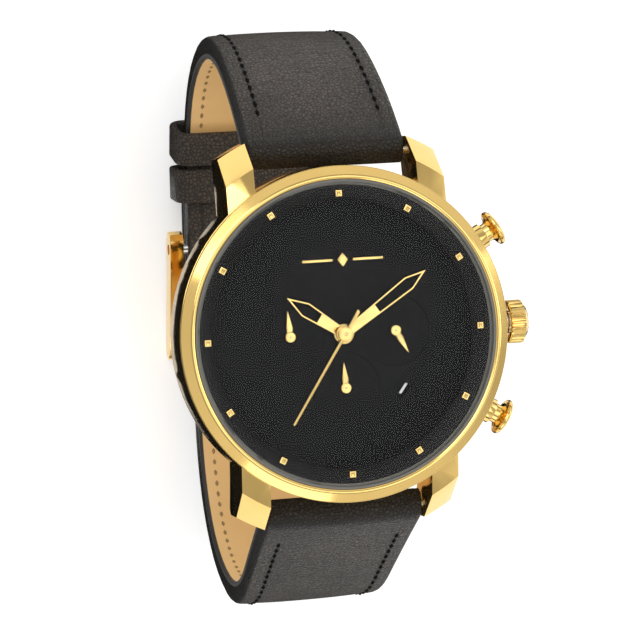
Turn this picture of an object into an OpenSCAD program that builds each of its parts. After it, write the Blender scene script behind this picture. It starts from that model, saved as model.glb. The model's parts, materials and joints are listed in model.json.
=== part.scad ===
// Chronograph wristwatch on a closed leather strap. Z points out of the dial, Y to twelve o'clock,
// X to the crown. The origin is the centre of the case back's flat face.

/* [Case] */
// Diameter of the case and bezel
case_d = 45; // [44.5:0.1:45.5]
// Diameter of the bore that holds dial, ring and movement
case_bore_d = 39.96; // [39.9:0.02:40]
// Height of the level that the hour markers' tops lie on
marker_top_z = 10; // [9.9:0.1:10.2]
// Diameter of the case back's flat face
back_flat_d = 32; // [28:0.5:34]
// Distance between the lugs of a pair
lug_gap = 22.4; // [22.2:0.1:22.6]
// Width of one lug
lug_w = 3.8; // [3.4:0.1:4]
// Radius of the circle that the lug tips lie on
lug_tip_r = 28.3; // [28:0.1:28.6]
// Radius of the crease where the lugs start to fall away
lug_crease_r = 25.2; // [24.5:0.1:25.6]

/* [Dial and hands] */
// Radius of the hour markers' centres
marker_r = 18.8; // [18.6:0.1:19]
// Side of a square hour marker
marker_w = 0.87; // [0.7:0.01:1]
// Distance of the three counters from the dial's centre
counter_r = 7.3; // [7.25:0.05:7.35]
// Radius of a counter's recess
recess_r = 4.75; // [4:0.05:4.9]
// Length of the minute hand
minute_len = 14.1; // [12:0.1:15]
// Length of the hour hand
hour_len = 9.3; // [8:0.1:11]
// Length of the central seconds hand
seconds_len = 14; // [12:0.1:15]
// Minute that the time hands show
shown_minute = 9.3; // [0:0.1:59.9]
// Second that the central hand shows
shown_second = 35.57; // [0:0.01:59.99]

/* [Crown and pushers] */
// Diameter of the crown
crown_d = 5.9; // [5.5:0.1:6]
// Number of flutes round the crown
crown_flutes = 28; // [20:1:36]
// Height of the crown and pusher axes
crown_z = 6.5; // [6.45:0.05:6.6]
// Angle of the pushers above and below the crown
pusher_angle = 30; // [28:0.5:32]
// Diameter of a pusher's head
pusher_d = 5; // [4.6:0.1:5.2]
// Radius of a pusher head's outer face
pusher_face_r = 26.2; // [26:0.1:26.4]

/* [Strap and buckle] */
// Width of the strap between the lugs
strap_w = 21.8; // [21.4:0.1:22]
// Width of the strap at the buckle
strap_end_w = 20; // [19.6:0.1:20.2]
// Thickness of the strap at the lugs
strap_root_t = 4.8; // [4.6:0.1:4.9]
// Outer width of the buckle frame
buckle_w = 25.6; // [25:0.1:26]

/* [Hidden] */
$fn = 96;
eps = 0.02;
case_r = case_d / 2;
bore_r = case_bore_d / 2;
dial_z = marker_top_z - 1.48;
dial_t = 0.4;
plate_z = 5.1;
plate_top = 6.35;
plate_r = 16;
seat_z = 1.5;
seat_r = 19.4;
// hand stack, each hand's underside
counter_hand_z = 8.64;
hour_hand_z = 9;
minute_hand_z = 9.4;
seconds_hand_z = 9.8;
hand_t = 0.14;
// wheel trains: tooth counts and modules
pinion_n = 8;
big_n = 48;
big_m = 0.145;
rotor_n = 40;
rotor_m = 0.12;
reduce_n = 60;
slow_n = 64;
reduce_d = (pinion_n + reduce_n) / 2 * 0.12;
slow_m = 2 * reduce_d / (pinion_n + slow_n);
counter_m = 0.13;
counter_slow_m = 0.17;
motion_m = 0.2;
hour_m = 0.15;
centre = [0, 0];
day_at = [counter_r, 0];
chrono_at = [0, -counter_r];
counter_at = [-counter_r, 0];
big_d = (pinion_n + big_n) / 2 * big_m;
rotor_d = (pinion_n + rotor_n) / 2 * rotor_m;
third_dir = 115;
fifth_dir = 50;
rotor_dir = 60;
third_at = polar(reduce_d, third_dir);
fifth_at = polar(big_d, fifth_dir);
rotor_at = fifth_at + polar(rotor_d, rotor_dir);
chrono_idler_dir = 230;
chrono_rotor_dir = 170;
chrono_idler_at = chrono_at + polar(big_d, chrono_idler_dir);
chrono_rotor_at = chrono_idler_at + polar(rotor_d, chrono_rotor_dir);
counter_d1 = (pinion_n + reduce_n) / 2 * counter_m;
counter_d2 = (pinion_n + slow_n) / 2 * counter_slow_m;
counter_idler_at = meeting(chrono_at, counter_at, counter_d1, counter_d2);
minute_wheel_dir = 100;
minute_wheel_at = polar(4, minute_wheel_dir);
idler_at = meeting(day_at, centre, 4.5, 3.15);
pivots = [centre, third_at, fifth_at, rotor_at, chrono_at, chrono_idler_at, chrono_rotor_at,
    counter_at, counter_idler_at];
minute_turn = -6 * shown_minute;
hour_turn = -(300 + shown_minute / 2);
day_turn = -(150 + shown_minute / 4);
second_turn = -6 * shown_second;
date_at = polar(11.2, -45);
battery_at = polar(9.9, -25);
battery_r = 4.75;
movement_screw_at = [for (a = [20, 95, 150, 200, 285]) polar(14.6, a)];
back_screw_at = [for (a = [45:90:359]) polar(20.9, a)];
crown_x = 23.5;
crown_stem_r = 0.45;
// strap: bar axis, start, first heading and [length, turn] of each stretch
bar_at = [24.2, 3.4];
upper_from = [23.4, 4.1];
upper_heading = -38;
upper_arcs = [[20, -20], [18, -47], [16, -52], [9, -16], [9.6, 0]];
lower_from = [-23.4, 4.7];
lower_heading = -122;
lower_arcs = [[21.5, -2], [15, 46], [17, 52], [12, 26], [10, -8], [12.4, 0],
    [6, 15.5], [8, 0], [9, 14], [7, 12]];
lining_t = 0.8;
strap_t = 2.6;
tail_t = 2;
buckle_tilt = 11;
bar_r = 0.75;
flap_way = 58.5;
flap_step = 0.3;
fold_r = 1.45;
tongue_slot = 2.6;
hole_from = 1.4;
hole_to = 9.8;
ring_in = 18.06;
ring_out = 19.9;
ring_foot = 0.2;
time_stator_z = 4.1;
chrono_stator_z = 4.35;
time_reach = 4.8;
chrono_reach = 2.7;
keeper_l = 5;
keeper_w = 23.4;
keeper_t = 1.1;
fixed_keeper_way = 55.5;
free_keeper_way = 61.5;

function polar(r, a) = [r * cos(a), r * sin(a)];
// the point at distance da from a and db from b, on the left of the way from a to b
function meeting(a, b, da, db) =
    let (d = norm(b - a), u = (b - a) / d, x = (da * da - db * db + d * d) / (2 * d),
        y = sqrt(da * da - x * x))
    a + x * u + y * [-u[1], u[0]];
function heading(a, b) = atan2(b[1] - a[1], b[0] - a[0]);
// angle of wheel b, of nb teeth, that brings it into mesh with wheel a, of na teeth at turn ta
function mesh_turn(a, b, ta, na, nb) =
    let (h = heading(a, b)) h + 180 + 180 / nb + (h - ta) * na / nb;
// outline of a toothed wheel, a tooth on angle 0
function wheel_outline(n, m, tip = 0.55, root = 0.95) =
    let (r = n * m / 2, p = 360 / n)
    [for (i = [0:n - 1]) for (q = [[-0.27, -root], [-0.13, tip], [0.13, tip], [0.27, -root]])
        polar(r + q[1] * m, (i + q[0]) * p)];

module wheel(n, m, t, bore = 0, rim = true) {
    r = n * m / 2;
    difference() {
        linear_extrude(t) polygon(wheel_outline(n, m));
        if (bore > 0) translate([0, 0, -eps]) cylinder(r = bore, h = t + 2 * eps);
        if (rim && r > 2)
            for (a = [0:72:359])
                rotate(a) translate([r * 0.55, 0, -eps]) cylinder(r = r * 0.2, h = t + 2 * eps);
    }
}

// a body of revolution about Z with a radius and a height range
module rod(r, z0, z1) {
    translate([0, 0, z0]) cylinder(r = r, h = z1 - z0);
}

module tube(r_in, r_out, z0, z1) {
    difference() {
        rod(r_out, z0, z1);
        rod(r_in, z0 - 1, z1 + 1);
    }
}

// an arbor between the bridge and the main plate, with a thin pivot at each end
module arbor(top = plate_z) {
    rod(0.1, 2.55, 2.9);
    rod(0.16, 2.9, top - 0.05);
    rod(0.1, top - 0.1, top + 0.3);
}

// ---- case ----
// the ring that the lugs are cut from: nearly flat by the bezel, falling away past a crease
module lug_ring() {
    rotate_extrude() polygon([[bore_r + 0.5, 2.4], [bore_r + 0.5, 9.4], [22.4, 9.4],
        [lug_crease_r, 8.9], [lug_tip_r, 4.4], [lug_tip_r, 0.9], [lug_tip_r - 0.6, 0.5],
        [24.5, 1.5]]);
}

module lugs() {
    intersection() {
        lug_ring();
        for (x = [-lug_gap / 2 - lug_w, lug_gap / 2]) for (y = [-30, 15])
            translate([x, y, 0]) cube([lug_w, 15, 12]);
    }
}

module radial(angle) {
    rotate(angle) translate([0, 0, crown_z]) rotate([0, 90, 0]) children();
}

module case_middle() {
    color("goldenrod") difference() {
        union() {
            rotate_extrude() polygon([[bore_r, 1], [21.9, 1], [case_r, 3.4], [case_r, 9.75],
                [22.1, 9.85], [21.67, 9.85], [21.67, 10.3], [bore_r, 10.3]]);
            lugs();
        }
        rotate_extrude() polygon([[20.05, 0], [20.45, 0], [20.45, 1.3], [20.05, 1.3]]);
        for (p = back_screw_at) translate(p) rod(0.35, 0, 2.6);
        for (a = [-pusher_angle, pusher_angle]) radial(a) rod(1.7, 15, 25);
        radial(0) rod(1.5, 15, 25);
        for (y = [-bar_at[0], bar_at[0]]) translate([0, y, bar_at[1]]) rotate([0, 90, 0])
            rod(0.45, -12.4, 12.4);
    }
}

module bezel() {
    color("gold") rotate_extrude() polygon([[21.7, 9.9], [22.3, 9.9], [case_r, 10.05],
        [case_r, 10.36], [21.25, 11.1], [21.07, 11.15], [20.9, 11.1], [20.66, 10.95],
        [20.66, 10.3], [21.7, 10.3]]);
}

module crystal() {
    color([0.9, 0.95, 1, 0.3]) rotate_extrude() polygon([[0, 10.42], [20.35, 10.42],
        [20.35, 11.15], [20.2, 11.3], [0, 11.3]]);
}

module crystal_gasket() {
    color("white") rotate_extrude() polygon([[19.98, 10.3], [20.66, 10.3], [20.66, 11.02],
        [20.35, 11.02], [20.35, 10.42], [19.98, 10.42]]);
}

function ring_z(r) = dial_z + ring_foot + (r - ring_in) * 0.97;

module chapter_ring() {
    color("#2b2b2b") rotate_extrude() polygon([[ring_in, dial_z], [ring_out, dial_z],
        [ring_out, ring_z(19.75)], [19.75, ring_z(19.75)], [ring_in, ring_z(ring_in)]]);
}

module hour_markers() {
    r0 = marker_r - marker_w / 2;
    r1 = marker_r + marker_w / 2;
    color("gold") for (a = [0:30:359]) rotate(a) translate([0, marker_w / 2, 0])
        rotate([90, 0, 0]) linear_extrude(marker_w)
            polygon([[r0, ring_z(r0) + eps], [r1, ring_z(r1) + eps], [r1, marker_top_z],
                [r0, marker_top_z]]);
}

module dial() {
    color("#262626") difference() {
        rod(seat_r, dial_z - dial_t, dial_z);
        for (p = [day_at, chrono_at, counter_at]) translate(p) {
            rod(recess_r, dial_z - 0.2, dial_z + 1);
            rod(0.4, 0, dial_z + 1);
        }
        rod(1.25, 0, dial_z + 1);
        translate(date_at) rotate(-45) translate([-0.8, -1, 0]) cube([1.6, 2, 12]);
    }
}

module dial_ornament() {
    color("gold") translate([0.45, 9.9, dial_z]) {
        linear_extrude(0.1) polygon([[-0.75, 0], [0, 0.95], [0.75, 0], [0, -0.95]]);
        for (x = [-5.6, 1.4]) translate([x, -0.18, 0]) cube([4.2, 0.36, 0.1]);
    }
}

module case_back() {
    color("goldenrod") difference() {
        rotate_extrude() polygon([[0, 0], [back_flat_d / 2, 0], [20, 0.35], [21.5, 0.7], [21.6, 1],
            [19.9, 1], [19.9, seat_z], [0, seat_z]]);
        for (p = back_screw_at) translate(p) {
            rod(0.35, -1, 3);
            rod(0.6, -1, 0.72);
        }
    }
}

module case_back_gasket() {
    color("black") tube(20.05, 20.45, 1, 1.3);
}

module case_back_screws() {
    color("goldenrod") for (p = back_screw_at) translate(p) {
        rod(0.35, 0.7, 2.6);
        difference() {
            rod(0.58, 0.5, 0.72);
            translate([-0.7, -0.08, 0]) cube([1.4, 0.16, 0.6]);
        }
    }
}

// ---- movement ----
module movement_ring() {
    color("ivory") difference() {
        tube(plate_r + 0.05, seat_r, seat_z, dial_z - dial_t);
        radial(0) rod(0.6, 10, 21);
        for (a = [-pusher_angle, pusher_angle]) radial(a) rod(1.35, 10, 21);
    }
}

module main_plate() {
    rim = dial_z - dial_t;
    color("silver") {
        difference() {
            rotate_extrude() polygon([[0, plate_z], [plate_r, plate_z], [plate_r, rim], [13.05, rim],
                [13.05, 7.66], [10.6, 7.66], [10.6, plate_top], [0, plate_top]]);
            for (p = pivots) translate(p) rod(0.13, 0, 5.5);
            translate(centre) rod(0.55, 0, 9);
            for (p = [chrono_at, counter_at]) translate(p) rod(0.28, 0, 9);
            translate(day_at) rod(0.18, 6, 9);
            radial(0) rod(0.5, 10, 21);
        }
        for (p = movement_screw_at) translate(p) tube(0.35, 0.9, 2.8, plate_z);
        translate(minute_wheel_at) rod(0.3, plate_top, 7.62);
        translate(idler_at) rod(0.3, plate_top, 7.12);
    }
}

module plate_cuts() {
    translate(battery_at) rod(battery_r + 0.15, 0, 9);
    for (p = movement_screw_at) translate(p) rod(0.38, 0, 9);
}

module train_bridge() {
    color("silver") difference() {
        rod(15.6, 2.5, 2.8);
        plate_cuts();
        for (p = pivots) translate(p) rod(0.13, 0, 9);
        translate([-9, 7, 0]) rotate(45) translate([-2.8, -1.1, 0]) cube([5.6, 2.2, 9]);
    }
}

module movement_screws() {
    color("lightgray") for (p = movement_screw_at) translate(p) {
        rod(0.34, 1.8, 4.2);
        difference() {
            rod(0.8, 1.72, 2.05);
            translate([-1, -0.1, 0]) cube([2, 0.2, 1.85]);
        }
    }
}

module circuit_board() {
    color("seagreen") difference() {
        rod(15.4, 2.05, 2.5);
        plate_cuts();
    }
}

module quartz_can() {
    color("silver") translate([-9, 7, 3.42]) rotate(45) rotate([0, 90, 0]) {
        rod(0.9, -2.5, 2.2);
        rod(0.75, 2.1, 2.5);
    }
}

module battery() {
    color("lightsteelblue") translate(battery_at) {
        rod(battery_r, 2.1, 4.45);
        rod(battery_r - 0.7, 1.75, 2.2);
    }
}

// a stepping motor's flat stator round its rotor, with an arm at each end for the coil core
module stator(reach, t) {
    difference() {
        union() {
            translate([-3.4, -1.2, 0]) cube([9.7, 2.4, t]);
            for (x = [-3.4, 5.1]) translate([x, -1.2, 0]) cube([1.2, reach + 1.8, t]);
        }
        translate([0, 0, -1]) cylinder(r = 1, h = 3);
    }
}

module coil(reach, top) {
    color("dimgray") translate([-3.4, reach - 0.6, top - 0.5]) cube([9.7, 1.2, 0.5]);
    color("sienna") difference() {
        translate([-1.95, reach, top - 0.25]) rotate([0, 90, 0]) cylinder(r = 0.96, h = 6.8);
        translate([-3, reach - 0.6, top - 0.5]) cube([9, 1.2, 0.5]);
    }
}

module chrono_motor_frame() {
    translate(chrono_rotor_at) rotate(heading(centre, chrono_rotor_at) - 90) children();
}

module motor_stators() {
    color("gray") {
        translate(rotor_at) translate([0, 0, time_stator_z]) stator(time_reach, 0.3);
        difference() {
            chrono_motor_frame() translate([0, 0, chrono_stator_z]) stator(chrono_reach, 0.27);
            translate(chrono_idler_at) rod(0.4, 0, 9);
        }
    }
}

module motor_coils() {
    translate(rotor_at) coil(time_reach, time_stator_z);
    chrono_motor_frame() coil(chrono_reach, chrono_stator_z);
}

// ---- wheels ----
module pinion(n, m, z0, z1, turn = 0) {
    rotate(turn) translate([0, 0, z0]) wheel(n, m, z1 - z0);
}

module rotor(from, at) {
    color("dimgray") translate(at) {
        arbor();
        pinion(pinion_n, rotor_m, 3.3, 3.7, mesh_turn(from, at, 0, rotor_n, pinion_n));
        rod(0.8, 3.9, 4.75);
    }
}

module reduction_wheel(from, at) {
    color("goldenrod") translate(at) {
        arbor();
        pinion(pinion_n, big_m, 2.92, 3.2, mesh_turn(from, at, 0, big_n, pinion_n));
        translate([0, 0, 3.4]) wheel(rotor_n, rotor_m, 0.2);
    }
}

module time_rotor() rotor(fifth_at, rotor_at);

module chrono_rotor() rotor(chrono_idler_at, chrono_rotor_at);

module fifth_wheel() reduction_wheel(centre, fifth_at);

module chrono_idler() reduction_wheel(chrono_at, chrono_idler_at);

module fourth_wheel() {
    color("goldenrod") {
        translate([0, 0, 2.95]) wheel(big_n, big_m, 0.2);
        pinion(pinion_n, 0.12, 3.7, 4.2);
        rod(0.1, 2.55, 2.95);
        rod(0.22, 2.9, seconds_hand_z + 0.15);
    }
}

module third_wheel() {
    color("goldenrod") translate(third_at) {
        arbor();
        translate([0, 0, 3.85]) rotate(mesh_turn(centre, third_at, 0, pinion_n, reduce_n))
            wheel(reduce_n, 0.12, 0.2);
        pinion(pinion_n, slow_m, 4.3, 4.7);
    }
}

module centre_wheel() {
    color("goldenrod") {
        translate([0, 0, 4.4]) rotate(mesh_turn(third_at, centre, 0, pinion_n, slow_n))
            wheel(slow_n, slow_m, 0.2, 0.27);
        tube(0.27, 0.5, 4.4, 7.2);
    }
}

module cannon_pinion() {
    color("goldenrod") {
        translate([0, 0, 6.45]) wheel(10, motion_m, 0.3, 0.53);
        tube(0.53, 0.75, 6.45, minute_hand_z + 0.2);
    }
}

module minute_wheel() {
    color("goldenrod") translate(minute_wheel_at) {
        translate([0, 0, 6.45]) rotate(mesh_turn(centre, minute_wheel_at, 0, 10, 30))
            wheel(30, motion_m, 0.25, 0.33);
        translate([0, 0, 6.7]) wheel(8, motion_m, 0.85, 0.33);
    }
}

module hour_wheel() {
    color("goldenrod") {
        translate([0, 0, 6.85]) wheel(18, hour_m, 0.2, 0.8);
        translate([0, 0, 7.25]) rotate(mesh_turn(minute_wheel_at, centre, 0, 8, 32))
            wheel(32, motion_m, 0.25, 0.8, false);
        tube(0.8, 1.05, 6.85, hour_hand_z + 0.18);
    }
}

idler_turn = mesh_turn(centre, idler_at, 0, 18, 24);

module idler_wheel() {
    color("goldenrod") translate(idler_at) translate([0, 0, 6.85]) rotate(idler_turn)
        wheel(24, hour_m, 0.2, 0.33);
}

module counter_arbor(z0) {
    rod(0.25, z0, counter_hand_z);
    rod(0.13, counter_hand_z - eps, counter_hand_z + 0.24);
}

module day_wheel() {
    color("goldenrod") translate(day_at) {
        rod(0.15, 6.05, 6.5);
        translate([0, 0, 6.85]) rotate(mesh_turn(idler_at, day_at, idler_turn, 24, 36))
            wheel(36, hour_m, 0.2);
        counter_arbor(6.4);
    }
}

module chrono_wheel() {
    color("goldenrod") translate(chrono_at) {
        translate([0, 0, 2.95]) wheel(big_n, big_m, 0.2);
        pinion(pinion_n, counter_m, 4, 4.4);
        rod(0.1, 2.55, 2.95);
        counter_arbor(2.9);
    }
}

module counter_idler() {
    color("goldenrod") translate(counter_idler_at) {
        arbor();
        translate([0, 0, 4.1]) rotate(mesh_turn(chrono_at, counter_idler_at, 0, pinion_n, reduce_n))
            wheel(reduce_n, counter_m, 0.2);
        pinion(pinion_n, counter_slow_m, 4.65, 5);
    }
}

module counter_wheel() {
    color("goldenrod") translate(counter_at) {
        translate([0, 0, 4.74])
            rotate(mesh_turn(counter_idler_at, counter_at, 0, pinion_n, slow_n))
                wheel(slow_n, counter_slow_m, 0.18);
        rod(0.1, 2.55, 2.95);
        counter_arbor(2.9);
    }
}

module date_disc() {
    color("#222222") difference() {
        rod(13, 7.7, 7.9);
        translate([0, 0, 7]) linear_extrude(2) polygon(wheel_outline(31, 0.66));
    }
}

// ---- hands, drawn pointing to twelve ----
module hub(r, z, t, bore) {
    tube(bore, r, z, z + t);
}

// a slim blade: narrow at the hub, widest at the shoulder, with a slot in its outer part
module blade(len, w, shoulder, slot_from) {
    root = 0.62;
    rim = 0.22;
    s = len * shoulder;
    slot_w = w / 2 - rim;
    slot_root = root + (w / 2 - root) * slot_from / shoulder - rim;
    difference() {
        polygon([[-root, 0], [-w / 2, s], [0, len], [w / 2, s], [root, 0]]);
        polygon([[-slot_root, len * slot_from], [-slot_w, s], [0, len - 2.2 * rim * (len - s) / w],
            [slot_w, s], [slot_root, len * slot_from]]);
    }
}

module main_hand(len, w, shoulder, slot_from, z, r_hub, bore, turn) {
    color("gold") rotate(turn) {
        difference() {
            translate([0, 0, z]) linear_extrude(hand_t) blade(len, w, shoulder, slot_from);
            rod(bore, z - 1, z + 1);
        }
        hub(r_hub, z, hand_t, bore);
    }
}

module hour_hand() main_hand(hour_len, 2.05, 0.67, 0.43, hour_hand_z, 1.35, 1.05, hour_turn);

module minute_hand()
    main_hand(minute_len, 1.95, 0.79, 0.4, minute_hand_z, 1.15, 0.75, minute_turn);

module seconds_hand() {
    color("gold") rotate(second_turn) {
        difference() {
            translate([0, 0, seconds_hand_z]) linear_extrude(hand_t) {
                polygon([[-0.21, 0], [-0.17, seconds_len], [0.17, seconds_len], [0.21, 0]]);
                polygon([[-0.22, 0], [0.22, 0], [0.26, -3.75], [-0.26, -3.55]]);
            }
            rod(0.22, 0, 12);
        }
        hub(1, seconds_hand_z, 0.22, 0.22);
    }
}

module counter_hand_at(at, turn) {
    z = counter_hand_z;
    color("gold") translate(at) rotate(turn) {
        difference() {
            translate([0, 0, z]) linear_extrude(0.12)
                polygon([[-0.3, 0], [-0.43, 1.3], [0, 3.55], [0.43, 1.3], [0.3, 0]]);
            rod(0.13, 0, 12);
        }
        hub(0.7, z, 0.18, 0.13);
    }
}

module day_hand() counter_hand_at(day_at, day_turn);

module chrono_hand() counter_hand_at(chrono_at, 2.6);

module counter_hand() counter_hand_at(counter_at, 3.5);

// ---- crown and pushers, along their own axes ----
module crown() {
    r = crown_d / 2;
    x = crown_x;
    color("gold") radial(0) difference() {
        intersection() {
            rotate_extrude() polygon([[0, x], [r - 0.25, x], [r, x + 0.2], [r, x + 2],
                [r - 0.35, x + 2.2], [r - 0.9, x + 2.6], [r - 1.9, x + 2.9], [0, x + 3]]);
            translate([0, 0, x - 1]) linear_extrude(6)
                polygon(wheel_outline(crown_flutes, 0.208, 0.22, 0.6));
        }
        rod(1.72, x - 1, x + 1.6);
    }
    color("gold") radial(0) tube(crown_stem_r, 0.9, x - 1.4, x + 1.7);
}

module winding_stem() {
    color("lightgray") radial(0) difference() {
        rod(crown_stem_r, 11, crown_x + 1.6);
        tube(0.3, 1, 12.2, 12.8);
    }
}

module crown_gasket() {
    color("black") radial(0) tube(0.92, 1.22, crown_x - 1, crown_x - 0.5);
}

module crown_tube() {
    color("silver") radial(0) {
        tube(1.26, 1.5, 21, 24.6);
        tube(0.6, 1.5, bore_r + 0.02, 21);
    }
}

module pusher(angle) {
    r = pusher_d / 2;
    f = pusher_face_r;
    color("gold") radial(angle) rotate_extrude() polygon([[0, 16.95], [0.55, 16.95], [0.55, 23.6],
        [1.3, 23.6], [1.3, 24.9], [1.8, f - 0.85], [r - 0.15, f - 0.75], [r, f - 0.6],
        [r, f - 0.3], [r - 0.3, f], [0, f]]);
}

module pusher_2() pusher(pusher_angle);

module pusher_4() pusher(-pusher_angle);

module pusher_tubes() {
    color("gold") for (a = [-pusher_angle, pusher_angle]) radial(a) {
        tube(1.34, 1.7, 21.2, 24.1);
        tube(0.58, 1.7, bore_r + 0.02, 21.2);
    }
}

module pusher_spring(angle) {
    turns = 4;
    pitch = 2.2 / turns;
    color("gray") radial(angle)
        for (i = [0:turns - 1]) tube(0.75, 1.2, 21.3 + i * pitch, 21.5 + i * pitch);
}

module pusher_spring_2() pusher_spring(pusher_angle);

module pusher_spring_4() pusher_spring(-pusher_angle);

// ---- strap ----
module spring_bars() {
    color("silver") for (y = [-bar_at[0], bar_at[0]]) translate([0, y, bar_at[1]])
        rotate([0, 90, 0]) {
            rod(0.85, -10.9, 10.9);
            rod(0.43, -12.3, 12.3);
        }
}

// points [y, z, heading, way] along arcs given as [length, turn]
function along(p, arcs, i = 0, k = 0, n = 6) =
    i == len(arcs) ? [p] :
    k == n ? along(p, arcs, i + 1, 0, n) :
    let (l = arcs[i][0] / n, a = arcs[i][1] / n, h = p[2] + a / 2)
    concat([p], along([p[0] + l * cos(h), p[1] + l * sin(h), p[2] + a, p[3] + l],
        arcs, i, k + 1, n));

// the band between two offsets from a course, both given as functions of the way along it
function band(course, lo, hi) = concat(
    [for (p = course) [p[0] - sin(p[2]) * lo(p[3]), p[1] + cos(p[2]) * lo(p[3])]],
    [for (i = [len(course) - 1:-1:0]) let (p = course[i])
        [p[0] - sin(p[2]) * hi(p[3]), p[1] + cos(p[2]) * hi(p[3])]]);

upper_course = along([upper_from[0], upper_from[1], upper_heading, 0], upper_arcs);
upper_end = upper_course[len(upper_course) - 1];
buckle_at = [upper_end[0], upper_end[1] + 0.15];
lower_course = along([lower_from[0], lower_from[1], lower_heading, 0], lower_arcs);
function upper_t(s) = max(strap_t, strap_root_t - 0.045 * s);
function lower_t(s) = s < 66 ? upper_t(s) : max(tail_t, strap_t - 0.06 * (s - 66));

module side_strip(points) {
    rotate([90, 0, 90]) translate([0, 0, -15]) linear_extrude(30) polygon(points);
}

// the strap's outline from the front: full width at the lugs, narrower from the wrist's side down
module strap_taper() {
    a = strap_w / 2;
    b = strap_end_w / 2;
    rotate([90, 0, 0]) translate([0, 0, -50]) linear_extrude(100)
        polygon([[-a, 8], [a, 8], [b, -30], [b, -60], [-b, -60], [-b, -30]]);
}

// the point of a course nearest after a way along it
function spot(course, s) = [for (p = course) if (p[3] >= s) p][0];

// children drawn with X across the strap, Y along it and Z out of it, at a way along a course
module on_course(course, s) {
    p = spot(course, s);
    translate([0, p[0], p[1]]) rotate([p[2] + 180, 0, 0]) mirror([0, 0, 1]) children();
}

// room for the case's wall at the strap's ends
module case_room() {
    rod(case_r + 0.15, 0, 10);
}

module bar_hole(y) {
    translate([0, y, bar_at[1]]) rotate([0, 90, 0]) rod(0.9, -15, 15);
}

module tongue_hole() {
    translate([-tongue_slot / 2, hole_from, -55]) cube([tongue_slot, hole_to - hole_from, 20]);
}

module strap_upper() {
    before = [for (p = upper_course) if (p[3] <= flap_way + eps) p];
    after = [for (p = upper_course) if (p[3] >= flap_way - eps) p];
    color("#46423e") difference() {
        intersection() {
            union() {
                side_strip(band(before, function (s) lining_t - upper_t(s) / 2,
                    function (s) upper_t(s) / 2));
                side_strip(band(after, function (s) -strap_t / 2 - flap_step,
                    function (s) strap_t / 2));
                translate([0, buckle_at[0], buckle_at[1]]) rotate([0, 90, 0])
                    rod(fold_r, -15, 15);
            }
            strap_taper();
        }
        case_room();
        bar_hole(bar_at[0]);
        translate([0, buckle_at[0], buckle_at[1]]) rotate([0, 90, 0]) rod(0.76, -15, 15);
        translate([-tongue_slot / 2, buckle_at[0] - 3, buckle_at[1] - 4])
            cube([tongue_slot, 5.6, 8]);
    }
}

module strap_lower() {
    color("#46423e") difference() {
        intersection() {
            side_strip(band(lower_course, function (s) -lower_t(s) / 2,
                function (s) lower_t(s) / 2 - lining_t));
            strap_taper();
        }
        case_room();
        bar_hole(-bar_at[0]);
        tongue_hole();
    }
}

module strap_linings() {
    before = [for (p = upper_course) if (p[3] <= flap_way + eps) p];
    color("tan") difference() {
        intersection() {
            union() {
                side_strip(band(before, function (s) -upper_t(s) / 2,
                    function (s) lining_t - upper_t(s) / 2));
                side_strip(band(lower_course, function (s) lower_t(s) / 2 - lining_t,
                    function (s) lower_t(s) / 2));
            }
            strap_taper();
        }
        case_room();
        bar_hole(bar_at[0]);
        bar_hole(-bar_at[0]);
        tongue_hole();
    }
}

module keeper(s, in_face, out_face) {
    color("#3c3936") on_course(upper_course, s)
        translate([0, keeper_l / 2, 0]) rotate([90, 0, 0]) linear_extrude(keeper_l)
            difference() {
                translate([-keeper_w / 2, in_face - keeper_t]) square([keeper_w,
                    out_face - in_face + 2 * keeper_t]);
                translate([-keeper_w / 2 + keeper_t, in_face]) square([keeper_w - 2 * keeper_t,
                    out_face - in_face]);
            }
}

module fixed_keeper() keeper(fixed_keeper_way, -1.9, 3.8);

module free_keeper() keeper(free_keeper_way, -1.8, 3.85);

// ---- buckle, drawn about the bar's axis with Y along the strap ----
module at_buckle() {
    translate([0, buckle_at[0], buckle_at[1]]) rotate([buckle_tilt, 0, 0]) children();
}

module across(w, points) {
    rotate([90, 0, 90]) translate([0, 0, -w / 2]) linear_extrude(w) polygon(points);
}

module buckle_frame() {
    rail_w = 2;
    color("gold") at_buckle() difference() {
        union() {
            for (x = [-1, 1]) translate([x * (buckle_w - rail_w) / 2, 0, 0])
                across(rail_w, [[2.4, 0.9], [1.6, 1.5], [-3, 1.4], [-12, 0.5], [-16.4, -0.4],
                    [-17.2, -1.1], [-17.2, -2.1], [-16.6, -2.75], [-12, -2.45], [-3, -1.8],
                    [1.6, -1.6], [2.6, -0.6]]);
            across(buckle_w - 2 * rail_w, [[-14.8, -0.7], [-16.4, -0.5], [-17.1, -1.1],
                [-17.1, -2.1], [-16.6, -2.75], [-15, -2.65], [-14.4, -1.8]]);
        }
        rotate([0, 90, 0]) rod(bar_r + 0.03, -20, 20);
        // the notch that the tongue's tip rests in
        translate([-1.15, -18, -3.5]) cube([2.3, 4, 1.8]);
    }
}

module buckle_tongue() {
    color("gold") at_buckle() difference() {
        union() {
            rotate([0, 90, 0]) rod(1.4, -1.05, 1.05);
            across(2.1, [[0, -0.3], [-1, -0.1], [-14.2, -1.75], [-16.9, -1.85], [-17.6, -2],
                [-17.6, -2.6], [-16.6, -2.75], [-1, -1.3], [0, -1.4]]);
        }
        rotate([0, 90, 0]) rod(bar_r + 0.03, -5, 5);
    }
}

module buckle_bar() {
    color("silver") translate([0, buckle_at[0], buckle_at[1]]) rotate([0, 90, 0])
        rod(bar_r, -12.2, 12.2);
}

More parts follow.
